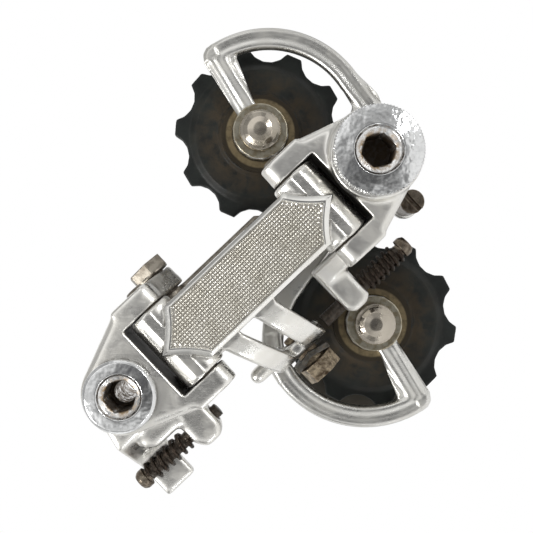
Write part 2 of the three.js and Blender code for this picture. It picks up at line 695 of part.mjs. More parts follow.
add('cage_pivot_bolt', cagePivotBolt(), chrome);
add('cage_outer_plate', cageOuterPlate(), polished);
add('cage_inner_plate', cageInnerPlate(), polished);
add('cage_stop_screw', cageStopScrew(), darkSteel);

const pulleys = [
  { name: 'guide', at: GUIDE, firstTooth: 0.403 },
  { name: 'tension', at: TENSION, firstTooth: 0.346 },
];
for (const { name, at, firstTooth } of pulleys) {
  const { outerTo, innerFrom } = CAGE;
  add(`${name}_pulley`, pulleyWheel(at, firstTooth), blackPlastic);
  add(`${name}_bush`, annulus(outerTo + GAP, innerFrom - GAP, 2.8, 4, at, 24), bronze);
  add(`${name}_dust_cap_outer`, annulus(outerTo + GAP, PULLEY_MID_Y - 3.8, 4.3, 9.2, at), darkSteel);
  add(`${name}_dust_cap_inner`, annulus(PULLEY_MID_Y + 3.8, innerFrom - GAP, 4.3, 9.2, at), darkSteel);
  add(`${name}_pulley_bolt`, pulleyBolt(at), darkSteel);
  add(`${name}_washer`, annulus(6.2, 6.9, 2.8, 6.4, at), polished);
  add(`${name}_cap_nut`, capNut(at), chrome);
}

export default derailleur;
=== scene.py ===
import json
import math

import bmesh
import bpy
from mathutils import Matrix, Vector


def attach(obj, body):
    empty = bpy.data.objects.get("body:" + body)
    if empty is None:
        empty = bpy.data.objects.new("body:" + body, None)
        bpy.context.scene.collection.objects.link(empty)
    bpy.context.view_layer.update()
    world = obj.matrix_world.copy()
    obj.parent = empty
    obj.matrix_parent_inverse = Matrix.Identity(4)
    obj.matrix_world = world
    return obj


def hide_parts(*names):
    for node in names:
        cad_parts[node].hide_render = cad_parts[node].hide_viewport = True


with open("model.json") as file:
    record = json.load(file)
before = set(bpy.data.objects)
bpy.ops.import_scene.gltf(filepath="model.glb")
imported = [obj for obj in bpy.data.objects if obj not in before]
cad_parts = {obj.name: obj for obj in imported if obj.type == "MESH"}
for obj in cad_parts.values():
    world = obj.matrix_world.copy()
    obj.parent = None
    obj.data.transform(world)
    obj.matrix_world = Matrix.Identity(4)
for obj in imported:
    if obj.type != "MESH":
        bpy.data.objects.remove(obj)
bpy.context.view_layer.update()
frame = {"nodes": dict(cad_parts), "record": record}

MM = 0.001
SLOPE = math.sqrt(0.5)
LINK = Matrix(((SLOPE, 0, SLOPE), (0, 1, 0), (-SLOPE, 0, SLOPE)))
PIVOT_X = 72.8  # the cage pivot, from the mounting bolt along the link's x

record = frame["record"]
body_of_node = {n: b for b, members in record["behaviour"]["bodies"].items() for n in members}


def link(x, y, z):
    """A point in the link's own axes, in mm, as a point in the row frame, in metres."""
    return LINK @ Vector((x, y, z)) * MM


# ---------------------------------------------------------------- materials
class Paint:
    """A node material under construction."""

    def __init__(self, name):
        self.material = bpy.data.materials.new(name)
        self.material.use_nodes = True
        self.tree = self.material.node_tree
        self.tree.nodes.clear()
        self.where = self.add("TexCoord").outputs["Object"]

    def add(self, kind, inputs=(), **props):
        made = self.tree.nodes.new("ShaderNode" + kind)
        for key, value in props.items():
            setattr(made, key, value)
        for key, value in dict(inputs).items():
            if isinstance(value, bpy.types.NodeSocket):
                self.tree.links.new(value, made.inputs[key])
            else:
                made.inputs[key].default_value = value
        return made

    def mapped(self, scale=(1, 1, 1), turn=(0, 0, 0)):
        inputs = {"Vector": self.where, "Scale": scale, "Rotation": turn}
        return self.add("Mapping", inputs).outputs[0]

    def noise(self, per_mm, detail=3.0, rough=0.55, vector=None, warp=0.0):
        return self.add("TexNoise", {
            "Vector": vector or self.where, "Scale": per_mm / MM, "Detail": detail,
            "Roughness": rough, "Distortion": warp,
        }).outputs["Fac"]

    def ramp(self, value, low, high):
        """0 below low, 1 above high."""
        inputs = {"Value": value, "From Min": low, "From Max": high}
        return self.add("MapRange", inputs, interpolation_type="SMOOTHSTEP").outputs[0]

    def mix(self, factor, a, b):
        return self.add("Mix", {0: factor, 6: a, 7: b}, data_type="RGBA").outputs[2]

    def maths(self, operation, a, b=0.0, clamp=False):
        return self.add("Math", {0: a, 1: b}, operation=operation, use_clamp=clamp).outputs[0]

    def radius_mm(self, centre):
        """Distance in mm from the axis along Y that passes through a centre."""
        apart = self.add("VectorMath", {0: self.where, 1: centre}, operation="SUBTRACT").outputs[0]
        flat = self.add("VectorMath", {0: apart, 1: (1, 0, 1)}, operation="MULTIPLY").outputs[0]
        length = self.add("VectorMath", {0: flat}, operation="LENGTH").outputs["Value"]
        return self.maths("MULTIPLY", length, 1 / MM)

    def link_axis_mm(self, direction):
        inputs = {0: self.where, 1: direction}
        along = self.add("VectorMath", inputs, operation="DOT_PRODUCT").outputs["Value"]
        return self.maths("MULTIPLY", along, 1 / MM)

    def within_window(self, window_x):
        """1 on the end wall of a knuckle's window, behind its face, which takes painted shade; window_x is near
        that wall.
        """
        x = self.link_axis_mm((SLOPE, 0, -SLOPE))
        z = self.link_axis_mm((SLOPE, 0, SLOPE))
        depth = self.ramp(self.link_axis_mm((0, 1, 0)), -15.1, -14.7)
        near_wall = self.ramp(self.maths("ABSOLUTE", self.maths("SUBTRACT", x, window_x)), 1.3, 1.1)
        across = self.ramp(self.maths("ABSOLUTE", z), 9.5, 9.3)
        return self.maths("MULTIPLY", self.maths("MULTIPLY", near_wall, across), depth)

    def occlusion(self, distance_mm):
        inputs = {"Distance": distance_mm * MM}
        return self.add("AmbientOcclusion", inputs, samples=6).outputs["AO"]

    def bump(self, height, strength, distance_mm, normal=None):
        inputs = {"Height": height, "Strength": strength, "Distance": distance_mm * MM}
        if normal:
            inputs["Normal"] = normal
        return self.add("Bump", inputs).outputs[0]

    def finish(self, colour, metallic, roughness, normal=None, **fixed):
        inputs = {"Base Color": colour, "Metallic": metallic, "Roughness": roughness}
        if normal:
            inputs["Normal"] = normal
        inputs.update({key.replace("_", " "): value for key, value in fixed.items()})
        shader = self.add("BsdfPrincipled", inputs)
        output = self.add("OutputMaterial")
        self.tree.links.new(shader.outputs[0], output.inputs["Surface"])
        return self.material


def rgb(r, g, b):
    return (r, g, b, 1.0)


def alloy(name, colour, rough, shade_and_grime=1.0, scratch=1.0, reach=1.6, window_x=None):
    """Polished aluminium that has been used: fine scratches, dull patches, and dirt mixed with painted shade in
    its corners.
    """
    p = Paint(name)
    fine = p.noise(0.9, 4, 0.6, p.mapped())
    hair = p.noise(5.0, 2, 0.5, p.mapped((1.0, 0.15, 0.22), (0, 0.6, 0)))
    cross = p.noise(5.0, 2, 0.5, p.mapped((0.2, 0.15, 1.0), (0, -0.5, 0)))
    patch = p.ramp(p.noise(0.16, 3, 0.55), 0.42, 0.66)
    pits = p.ramp(p.noise(2.2, 2, 0.5), 0.70, 0.78)
    # painted shade and dirt: ambient occlusion darkens the corners to near-black brown, broken up by noise
    corner = p.ramp(p.occlusion(reach), 0.78, 0.34)
    dirt_and_shade = p.maths("MULTIPLY", corner, p.ramp(p.noise(0.5, 3, 0.6), 0.25, 0.6))
    dirt_and_shade = p.maths("MULTIPLY", dirt_and_shade, shade_and_grime, clamp=True)
    dull = (colour[0] * 0.93, colour[1] * 0.925, colour[2] * 0.91, 1)
    shade = p.mix(patch, colour, dull)
    shade = p.mix(p.maths("MULTIPLY", pits, 0.35), shade, rgb(0.22, 0.2, 0.17))
    shade = p.mix(dirt_and_shade, shade, rgb(0.05, 0.038, 0.024))
    if window_x:
        # painted shade: the end wall down in the knuckle's window is coloured near black
        dark = p.within_window(window_x)
        shade = p.mix(p.maths("MULTIPLY", dark, 0.96), shade, rgb(0.02, 0.017, 0.013))
        dirt_and_shade = p.maths("MAXIMUM", dirt_and_shade, dark)
    roughness = p.maths("ADD", rough, p.maths("MULTIPLY", patch, 0.12))
    roughness = p.maths("ADD", roughness, p.maths("MULTIPLY", p.ramp(hair, 0.45, 0.75), 0.08 * scratch))
    roughness = p.maths("ADD", roughness, p.maths("MULTIPLY", dirt_and_shade, 0.4), clamp=True)
    normal = p.bump(p.maths("ADD", hair, cross), 0.05 * scratch, 0.02)
    normal = p.bump(fine, 0.06, 0.06, normal)
    metallic = p.maths("SUBTRACT", 1.0, p.maths("MULTIPLY", dirt_and_shade, 0.7))
    return p.finish(shade, metallic, roughness, normal)


def steel(name, bright, dark, rust, rough, rust_amount, striate=0.0, reach=1.0):
    """Plated or bare steel, dulled, with rust spots, and painted shade darkening its corners in the rust
    colour.
    """
    p = Paint(name)
    cloud = p.ramp(p.noise(0.7, 4, 0.6), 0.35, 0.68)
    spots = p.ramp(p.noise(1.7, 4, 0.65, warp=0.4), 0.62 - 0.3 * rust_amount, 0.74 - 0.2 * rust_amount)
    # painted shade: ambient occlusion darkens the corners, mixed with the rust spots below
    corner = p.ramp(p.occlusion(reach), 0.85, 0.3)
    shade = p.mix(cloud, bright, dark)
    rust_and_corner_shade = p.maths("MAXIMUM", p.maths("MULTIPLY", spots, rust_amount), p.maths("MULTIPLY", corner, 0.75))
    shade = p.mix(rust_and_corner_shade, shade, rust)
    grain = p.noise(3.5, 4, 0.65)
    roughness = p.maths("ADD", rough, p.maths("MULTIPLY", rust_and_corner_shade, 0.35), clamp=True)
    normal = p.bump(grain, 0.25, 0.06)
    if striate:
        lines = p.noise(7.0, 2, 0.5, p.mapped((1, 0.1, 1), (0, 0.3, 0)))
        normal = p.bump(lines, striate, 0.04, normal)
    metallic = p.maths("SUBTRACT", 1.0, p.maths("MULTIPLY", rust_and_corner_shade, 0.8))
    return p.finish(shade, metallic, roughness, normal)


def chrome(name, socket_centre, socket_radius_mm, bore_mm):
    """Chromed steel with frosted wear on the ring, rust round the key's socket, and painted shade inside the
    socket and in the corners.
    """
    p = Paint(name)
    radius = p.radius_mm(socket_centre)
    frost = p.ramp(p.noise(1.3, 5, 0.7, warp=0.5), 0.42, 0.6)
    freckle = p.ramp(p.noise(3.2, 3, 0.6), 0.64, 0.72)
    near = p.ramp(radius, socket_radius_mm + 1.6, socket_radius_mm - 0.4)
    rust_noise = p.ramp(p.noise(0.8, 5, 0.7, warp=0.6), 0.36, 0.62)
    rust = p.maths("MULTIPLY", near, rust_noise)
    shade = p.mix(frost, rgb(0.84, 0.85, 0.86), rgb(0.74, 0.75, 0.76))
    shade = p.mix(p.maths("MULTIPLY", freckle, 0.5), shade, rgb(0.30, 0.28, 0.25))
    shade = p.mix(rust, shade, rgb(0.30, 0.19, 0.075))
    # painted shade: the inside of the key's socket is coloured near black
    in_socket = p.ramp(radius, socket_radius_mm + 0.1, socket_radius_mm - 0.3)
    socket_shade = p.maths("MULTIPLY", in_socket, p.ramp(radius, bore_mm, bore_mm + 0.12))
    shade = p.mix(p.maths("MULTIPLY", socket_shade, 0.95), shade, rgb(0.034, 0.021, 0.010))
    # painted shade: ambient occlusion darkens the corners
    corner = p.ramp(p.occlusion(0.9), 0.7, 0.25)
    shade = p.mix(p.maths("MULTIPLY", corner, 0.8), shade, rgb(0.05, 0.035, 0.02))
    roughness = p.maths("ADD", 0.09, p.maths("MULTIPLY", frost, 0.08))
    foul = p.maths("MAXIMUM", rust, socket_shade)
    roughness = p.maths("ADD", roughness, p.maths("MULTIPLY", foul, 0.45), clamp=True)
    crown = p.maths("MULTIPLY", p.maths("MULTIPLY", radius, radius), -0.013)
    normal = p.bump(crown, 1.0, 1.0)
    normal = p.bump(p.noise(0.35, 2, 0.5), 0.5, 0.5, normal)
    normal = p.bump(p.noise(2.5, 5, 0.7), 0.03, 0.05, normal)
    metallic = p.maths("SUBTRACT", 1.0, p.maths("MULTIPLY", foul, 0.5))
    return p.finish(shade, metallic, roughness, normal)


def pulley_plastic(name, centre):
    """Black moulded nylon, greenish where it is clean, with brown dust worked in round the hub."""
    p = Paint(name)
    radius = p.radius_mm(centre)
    cloud = p.noise(0.35, 5, 0.6, warp=0.3)
    dust = p.maths("MULTIPLY", p.ramp(radius, 18.5, 10.0), p.ramp(cloud, 0.3, 0.65))
    ring = p.maths("SINE", p.maths("MULTIPLY", radius, 9.0))
    patch = p.ramp(p.noise(0.2, 3, 0.5), 0.35, 0.65)
    clean = p.mix(patch, rgb(0.006, 0.0075, 0.007), rgb(0.012, 0.015, 0.0135))
    shade = p.mix(p.maths("MULTIPLY", dust, 0.85), clean, rgb(0.052, 0.038, 0.022))
    roughness = p.maths("ADD", 0.46, p.maths("MULTIPLY", dust, 0.3))
    height = p.maths("ADD", p.maths("MULTIPLY", ring, 0.12), p.noise(2.0, 4, 0.6))
    return p.finish(shade, 0.0, roughness, p.bump(height, 0.25, 0.08), Specular_IOR_Level=0.32)


def link_field(name):
    """The fine knurl: bright tips, with painted shade down between them."""
    p = Paint(name)
    depth = p.maths("MULTIPLY", p.add("SeparateXYZ", {0: p.where}).outputs["Y"], 1 / MM)
    # painted shade: the low ground between the pyramids is coloured brown-grey
    low = p.ramp(depth, -17.36, -17.06)
    cloud = p.ramp(p.noise(0.22, 4, 0.6), 0.3, 0.7)
    shade = p.mix(cloud, rgb(0.95, 0.945, 0.92), rgb(0.84, 0.83, 0.79))
    shade = p.mix(p.maths("MULTIPLY", low, 0.62), shade, rgb(0.34, 0.31, 0.26))
    roughness = p.maths("ADD", 0.17, p.maths("MULTIPLY", low, 0.28))
    normal = p.bump(p.noise(2.4, 3, 0.6), 0.2, 0.05)
    return p.finish(shade, 1.0, roughness, normal)


def dust_cap(name, centre):
    """A pressed steel cover: black at its rim, with a worn yellowish ring inside it."""
    p = Paint(name)
    radius = p.radius_mm(centre)
    worn = p.maths("MULTIPLY", p.ramp(radius, 6.5, 7.0), p.ramp(radius, 8.4, 7.9))
    cloud = p.ramp(p.noise(0.8, 4, 0.6), 0.3, 0.65)
    shade = p.mix(p.maths("MULTIPLY", worn, p.maths("ADD", 0.45, p.maths("MULTIPLY", cloud, 0.4))),
                  rgb(0.045, 0.036, 0.024), rgb(0.33, 0.26, 0.15))
    normal = p.bump(p.noise(3.0, 3, 0.6), 0.2, 0.05)
    return p.finish(shade, 0.7, p.maths("SUBTRACT", 0.5, p.maths("MULTIPLY", worn, 0.14)), normal)


POLISHED = alloy("polished_forging", rgb(0.86, 0.85, 0.82), 0.25, window_x=9.6)
LINK_ALLOY = alloy("link_forging", rgb(0.86, 0.85, 0.82), 0.22)
SATIN = alloy("satin_forging", rgb(0.86, 0.85, 0.82), 0.28, window_x=63.2)
FACE = alloy("link_rim", rgb(0.92, 0.915, 0.89), 0.16, shade_and_grime=0.9, scratch=0.7, reach=0.35)
FIELD = link_field("link_field")
CAGE = alloy("cage_alloy", rgb(0.76, 0.755, 0.73), 0.27, shade_and_grime=0.9)
# painted shade: the inner cage plate is coloured near black for the shadow it sits in behind the pulleys
INNER_CAGE_SHADE = alloy("inner_cage_painted_shade", rgb(0.075, 0.07, 0.06), 0.45, shade_and_grime=1.0)
DOME = alloy("domed_alloy", rgb(0.52, 0.475, 0.41), 0.15, shade_and_grime=0.8, scratch=0.7)
TARNISHED = steel(
    "tarnished_washer", rgb(0.52, 0.49, 0.40), rgb(0.34, 0.29, 0.20), rgb(0.05, 0.035, 0.02), 0.30, 0.2)
ZINC = steel(
    "dull_zinc", rgb(0.30, 0.275, 0.235), rgb(0.16, 0.14, 0.115), rgb(0.08, 0.058, 0.036), 0.42, 0.2,
    striate=0.6)
WASHER = steel(
    "clamp_washer_steel", rgb(0.15, 0.145, 0.135), rgb(0.07, 0.065, 0.055), rgb(0.12, 0.08, 0.04), 0.42, 0.45)
RUSTY = steel(
    "rusty_bolt_steel", rgb(0.42, 0.35, 0.25), rgb(0.065, 0.045, 0.03), rgb(0.05, 0.028, 0.016), 0.38, 0.5)
NICKEL = steel(
    "screw_nickel", rgb(0.26, 0.225, 0.18), rgb(0.09, 0.072, 0.055), rgb(0.07, 0.038, 0.02), 0.28, 0.5)
THREAD = steel(
    "dark_thread", rgb(0.085, 0.075, 0.065), rgb(0.04, 0.033, 0.027), rgb(0.06, 0.035, 0.02), 0.36, 0.4)
SPRING = steel(
    "spring_wire", rgb(0.06, 0.05, 0.041), rgb(0.02, 0.016, 0.013), rgb(0.06, 0.032, 0.018), 0.33, 0.5)
BRONZE = steel(
    "bush_bronze", rgb(0.50, 0.38, 0.20), rgb(0.34, 0.25, 0.13), rgb(0.05, 0.035, 0.02), 0.40, 0.2)


# ---------------------------------------------------------------- shapes
def new_object(name, mesh):
    piece = bpy.data.objects.new(name, mesh)
    bpy.context.scene.collection.objects.link(piece)
    return piece


def settle(piece):
    """Makes a piece's modifiers part of its mesh."""
    depsgraph = bpy.context.evaluated_depsgraph_get()
    mesh = bpy.data.meshes.new_from_object(piece.evaluated_get(depsgraph))
    piece.modifiers.clear()
    piece.data = mesh
    return piece


def smooth_by_angle(piece, degrees=40):
    mesh = piece.data
    mesh.polygons.foreach_set("use_smooth", [True] * len(mesh.polygons))
    bm = bmesh.new()
    bm.from_mesh(mesh)
    for edge in bm.edges:
        edge.smooth = not (len(edge.link_faces) == 2 and edge.calc_face_angle(0) > math.radians(degrees))
    bm.to_mesh(mesh)
    bm.free()
    return piece


def stand_in(piece, node, material):
    """The piece takes the node's place and body."""
    piece.data.materials.clear()
    piece.data.materials.append(material)
    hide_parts(node)
    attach(piece, body_of_node[node])
    return piece


def soften(piece, weight_of, rounds):
    """More smoothing where weight_of, given a point in the link's axes in mm, says so."""
    to_link = LINK.transposed()
    group = piece.vertex_groups.new(name="roll")
    for vertex in piece.data.vertices:
        weight = weight_of(to_link @ vertex.co / MM)
        if weight > 0.01:
            group.add([vertex.index], weight, "REPLACE")
    roll = piece.modifiers.new("roll", "SMOOTH")
    roll.factor = 0.5
    roll.iterations = rounds
    roll.vertex_group = "roll"


def forged(node, name, material, voxel_mm=0.3, rounds=6, reshape=None, roll=None, roll_rounds=60):
    """The node's solid with its edges rolled over, as a polished forging's are."""
    piece = new_object(name, frame["nodes"][node].data.copy())
    skin = piece.modifiers.new("skin", "REMESH")
    skin.mode = "VOXEL"
    skin.voxel_size = voxel_mm * MM * 1.0
    skin.use_smooth_shade = True
    settle(piece)
    if reshape:
        reshape(piece.data)
    ease = piece.modifiers.new("ease", "SMOOTH")
    ease.factor = 0.5
    ease.iterations = rounds
    if roll:
        soften(piece, roll, roll_rounds)
    settle(piece)
    piece.vertex_groups.clear()
    piece.data.polygons.foreach_set("use_smooth", [True] * len(piece.data.polygons))
    return stand_in(piece, node, material)


def flatten_link_face(mesh):
    """Takes the plate's front down to where its worked face begins."""
    for vertex in mesh.vertices:
        vertex.co.y = max(vertex.co.y, -16.9 * MM)


def fade(value, low, high):
    """0 at low, 1 at high, smooth between."""
    t = min(1.0, max(0.0, (value - low) / (high - low)))
    return t * t * (3 - 2 * t)


def knuckle_roll(p, along):
    """A knuckle's outer edges roll over; those of its window stay crisp."""
    return max(fade(abs(p.z), 10.0, 11.6), fade(8.2 - along, 0.0, 2.0))


def upper_roll(p):
    return knuckle_roll(p, p.x)


def lower_roll(p):
    return knuckle_roll(p, PIVOT_X - p.x)


def finger_roll(p):
    return fade(abs(p.z), 7.4, 9.0)


PLATE_FRONT_Y = 7.2
BOW_GUIDE, BOW_TENSION = Vector((61.9, 20.5)), Vector((48.5, -26.4))
ARM = (Vector((0.35, 6.5)), Vector((3.6, 21.6)))
# straight runs that go on from each bow, from its own centre
BOW_STRAIGHTS = {
    1: (ARM, (Vector((22.6, -2.7)), Vector((21.4, -14.0)))),
    -1: (ARM, (Vector((22.6, -2.7)), Vector((21.2, -8.8))), (Vector((21.2, -8.8)), Vector((18.2, -12.8)))),
}


def bow_distance(p):
    """Distance in mm from the middle line of the cage's bow, in the plate's plane; None away from it."""
    best = None
    for side, centre in ((1, BOW_GUIDE), (-1, BOW_TENSION)):
        local = (Vector((p.x, p.z)) - centre) * side
        angle = math.atan2(local.y, local.x)
        if -0.12 < angle < 1.37:
            best = min(best or 9.0, abs(local.length - 22.8))
        for foot, corner in BOW_STRAIGHTS[side]:
            along = (local - foot).dot(corner - foot) / (corner - foot).length_squared
            if 0 <= along <= 1.02:
                best = min(best or 9.0, (local - foot.lerp(corner, along)).length)
    return best


def round_bow(mesh):
    """Gives the bow a rounded section with one shallow groove along its middle."""
    to_link = LINK.transposed()
    half, edge = 2.6, 1.5
    for vertex in mesh.vertices:
        p = to_link @ vertex.co / MM
        if p.y > 8.9:
            continue
        away = bow_distance(p)
        if away is None or away > half + 0.3:
            continue
        across = min(1.0, max(0.0, (away - (half - edge)) / edge))
        rounding = edge * (1 - math.sqrt(max(0.0, 1 - across * across)))
        groove = 0.45 * math.exp(-((away / 1.15) ** 2))
        front = PLATE_FRONT_Y + rounding + groove
        vertex.co.y = max(front, min(p.y, front)) * MM if away < half - 0.35 else max(p.y, front) * MM


def bow_roll(p):
    away = bow_distance(p)
    return 0.0 if away is None else fade(3.4 - away, 0.0, 0.6)


forged("upper_body", "upper_forging", POLISHED, 0.28, 7, roll=upper_roll, roll_rounds=70)
forged("lower_body", "lower_forging", SATIN, 0.28, 7, roll=lower_roll, roll_rounds=50)
forged("outer_link", "outer_link_forging", LINK_ALLOY, 0.26, 7, flatten_link_face, finger_roll, 40)
forged("inner_link", "inner_link_bar", ZINC, 0.25, 4)
forged("cage_outer_plate", "cage_outer_bow", CAGE, 0.25, 6, round_bow, bow_roll, 25)
forged("cage_inner_plate", "cage_inner_bow", INNER_CAGE_SHADE, 0.30, 3)
forged("mounting_bolt", "mounting_bolt_turned", chrome("mounting_chrome", (0, 0, 0), 3.5, 2.38), 0.15, 2)
CAP_CHROME = chrome("cap_chrome", tuple(link(PIVOT_X, 0, 0)), 3.6, -1)
forged("cage_pivot_bolt", "pivot_cap_turned", CAP_CHROME, 0.12, 1)
G, T = link(61, 15, 22.5), link(49.4, 15, -28.4)
forged("guide_pulley", "guide_wheel", pulley_plastic("guide_nylon", tuple(G)), 0.25, 4)
forged("tension_pulley", "tension_wheel", pulley_plastic("tension_nylon", tuple(T)), 0.25, 4)
for end in ("guide", "tension"):
    forged(end + "_cap_nut", end + "_dome", DOME, 0.14, 4)
    forged(end + "_washer", end + "_thin_washer", TARNISHED, 0.14, 2)
forged("cage_stop_screw", "cage_stop_stud", NICKEL, 0.14, 3)
forged("inner_pivot_bolt", "inner_hex_bolt", ZINC, 0.15, 2)
forged("clamp_washer", "cable_washer", WASHER, 0.15, 2)
forged("anchor_bolt", "cable_anchor_bolt", RUSTY, 0.15, 3)
forged("low_limit_screw", "low_stop_screw", NICKEL, 0.13, 2)
forged("high_limit_screw", "high_stop_screw", NICKEL, 0.13, 2)
forged("low_limit_spring", "low_screw_spring", SPRING, 0.16, 2)
forged("high_limit_spring", "high_screw_spring", SPRING, 0.16, 2)

CAPS = {"guide": dust_cap("guide_cap_steel", tuple(G)), "tension": dust_cap("tension_cap_steel", tuple(T))}
CARRIED = {
    "mounting_bolt_clip": SPRING, "upper_outer_pin": ZINC, "lower_outer_pin": ZINC, "lower_inner_pin": ZINC,
    "return_spring": SPRING, "cage_spring": SPRING, "pivot_bush": BRONZE,
}
for end in ("guide", "tension"):
    CARRIED.update({
        end + "_bush": BRONZE, end + "_dust_cap_outer": CAPS[end], end + "_dust_cap_inner": CAPS[end],
        end + "_pulley_bolt": ZINC,
    })
for node, material in CARRIED.items():
    shown = frame["nodes"][node]
    shown.data.materials.clear()
    shown.data.materials.append(material)


def knurled_rim():
    """The cap's front ring, with fine teeth round its edge."""
    teeth = 84
    bm = bmesh.new()
    rings = []
    # radius, share of the teeth's height, and y
    section = (
        (5.5, 0, -21.3), (5.7, 0, -22.0), (8.95, 0.7, -22.0), (9.1, 1, -21.8), (9.1, 1, -19.5), (8.4, 0, -19.3))
    for radius, toothed, y in section:
        ring = []
        for i in range(2 * teeth):
            r = radius + toothed * (0.16 if i % 2 else -0.16)
            turn = math.pi * i / teeth
            ring.append(bm.verts.new(link(PIVOT_X + r * math.cos(turn), y, r * math.sin(turn))))
        rings.append(ring)
    rings.append(rings[0])
    for a, b in zip(rings, rings[1:]):
        for i in range(2 * teeth):
            j = (i + 1) % (2 * teeth)
            bm.faces.new((a[i], a[j], b[j], b[i]))
    bmesh.ops.recalc_face_normals(bm, faces=bm.faces)
    mesh = bpy.data.meshes.new("pivot_cap_knurl")
    bm.to_mesh(mesh)
    bm.free()
    piece = smooth_by_angle(new_object("pivot_cap_knurl", mesh), 25)
    piece.data.materials.append(CAP_CHROME)
    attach(piece, "cage")


knurled_rim()


# ---------------------------------------------------------------- the worked face of the outer link
def curve_points(start, control, end, count):
    """Points along a quadratic curve, without its last."""
    points = []
    for i in range(count):
        t = i / count
        points.append(start * (1 - t) ** 2 + control * 2 * t * (1 - t) + end * t * t)
    return points


def link_outline():
    """The plate's outline in the link's x and z, in mm, and the corners in it."""
    left, right, half, corner = 12.0, 60.4, 7.15, 7.2
    tips = [Vector((left, 0)), Vector((left + corner, -half)), Vector((right - corner, -half)),
            Vector((right, 0)), Vector((right - corner, half)), Vector((left + corner, half))]
    bends = [Vector((left + 4.6, -3)), None, Vector((right - 4.6, -3)), Vector((right - 4.6, 3)), None,
             Vector((left + 4.6, 3))]
    points = []
    for i, tip in enumerate(tips):
        end = tips[(i + 1) % 6]
        if bends[i]:
            points += curve_points(tip, bends[i], end, 10)
        else:
            points += [tip.lerp(end, k / 24) for k in range(24)]
    return points


def inset(points, side, end):
    """The outline moved inwards: by side along its straight edges and by end along the curved ones."""
    moved = []
    count = len(points)
    for i, here in enumerate(points):
        lines = []
        for a, b in ((points[i - 1], here), (here, points[(i + 1) % count])):
            run = (b - a).normalized()
            lines.append((Vector((-run.y, run.x)), side if abs(run.y) < 0.02 else end))
        (n1, d1), (n2, d2) = lines
        cross = n1.x * n2.y - n1.y * n2.x
        if abs(cross) < 0.02:
            moved.append(here + (n1 * d1 + n2 * d2) / 2)
        else:
            moved.append(here + Vector(((d1 * n2.y - d2 * n1.y) / cross, (n1.x * d2 - n2.x * d1) / cross)))
    return moved


def gap_to(points, p):
    """Distance from a point to the outline."""
    best = 99.0
    for i, b in enumerate(points):
        a = points[i - 1]
        along = min(1.0, max(0.0, (p - a).dot(b - a) / (b - a).length_squared))
        best = min(best, (p - a.lerp(b, along)).length)
    return best


def untangle(points, moved, distance):
    """Where an inset outline folds over at a cusp, its points draw together on the nearest sound one."""
    sound = [gap_to(points, p) > 0.97 * distance for p in moved]
    count = len(moved)
    tidy = []
    for i, p in enumerate(moved):
        step = 0
        while not (sound[(i + step) % count] or sound[i - step]) and step < 12:
            step += 1
        tidy.append(moved[(i + step) % count] if sound[(i + step) % count] else moved[i - step])
    return tidy


def inside(points, x, z):
    hit = False
    for i, a in enumerate(points):
        b = points[i - 1]
        if (a.y > z) != (b.y > z) and x < (b.x - a.x) * (z - a.y) / (b.y - a.y) + a.x:
            hit = not hit
    return hit


def link_face():
    """The raised, bevelled rim and the field of fine pyramids within it."""
    outline = link_outline()
    # share of the rim's width, and y
    steps = [
        (-0.04, -15.6), (-0.04, -16.75), (0.06, -17.1), (0.55, -17.55), (0.68, -17.6), (0.80, -17.54),
        (1.0, -17.02),
    ]
    side_width, end_width = 1.15, 1.75
    bm = bmesh.new()
    rings = []
    for share, y in steps:
        ring = inset(outline, share * side_width, share * end_width)
        if share > 0.1:
            ring = untangle(outline, ring, share * side_width)
        rings.append([bm.verts.new(link(p.x, y, p.y)) for p in ring])
    count = len(outline)
    for lower, upper in zip(rings, rings[1:]):
        for i in range(count):
            j = (i + 1) % count
            bm.faces.new((lower[i], lower[j], upper[j], upper[i]))
    rim_faces = len(bm.faces)
    bm.faces.new(rings[-1])
    bm.faces.new(list(reversed(rings[0])))
    bmesh.ops.remove_doubles(bm, verts=bm.verts, dist=0.002 * MM)
    rim_faces -= rim_faces + 2 - len(bm.faces)
    field = untangle(outline, inset(outline, side_width + 0.12, end_width + 0.12), side_width)
    pitch, height, base = 0.70, 0.42, -17.0
    columns, rows = int(48 / pitch), int(14 / pitch)
    squares = ((-1, -1), (1, -1), (1, 1), (-1, 1))
    for column in range(columns + 1):
        for row in range(-rows // 2, rows // 2 + 1):
            x, z = 12.2 + column * pitch, row * pitch
            if not inside(field, x, z):
                continue
            half = pitch * 0.49
            top = half * 0.22
            foot = [bm.verts.new(link(x + dx * half, base, z + dz * half)) for dx, dz in squares]
            head = [bm.verts.new(link(x + dx * top, base - height, z + dz * top)) for dx, dz in squares]
            for i in range(4):
                j = (i + 1) % 4
                bm.faces.new((foot[i], foot[j], head[j], head[i]))
            bm.faces.new(head)
            bm.faces.new(list(reversed(foot)))
    bm.faces.ensure_lookup_table()
    for face in bm.faces[rim_faces:]:
        face.material_index = 1
    bmesh.ops.recalc_face_normals(bm, faces=bm.faces)
    mesh = bpy.data.meshes.new("link_face")
    bm.to_mesh(mesh)
    bm.free()
    piece = smooth_by_angle(new_object("link_worked_face", mesh), 32)
    piece.data.materials.append(FACE)
    piece.data.materials.append(FIELD)
    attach(piece, "outer_link")
    return piece


link_face()


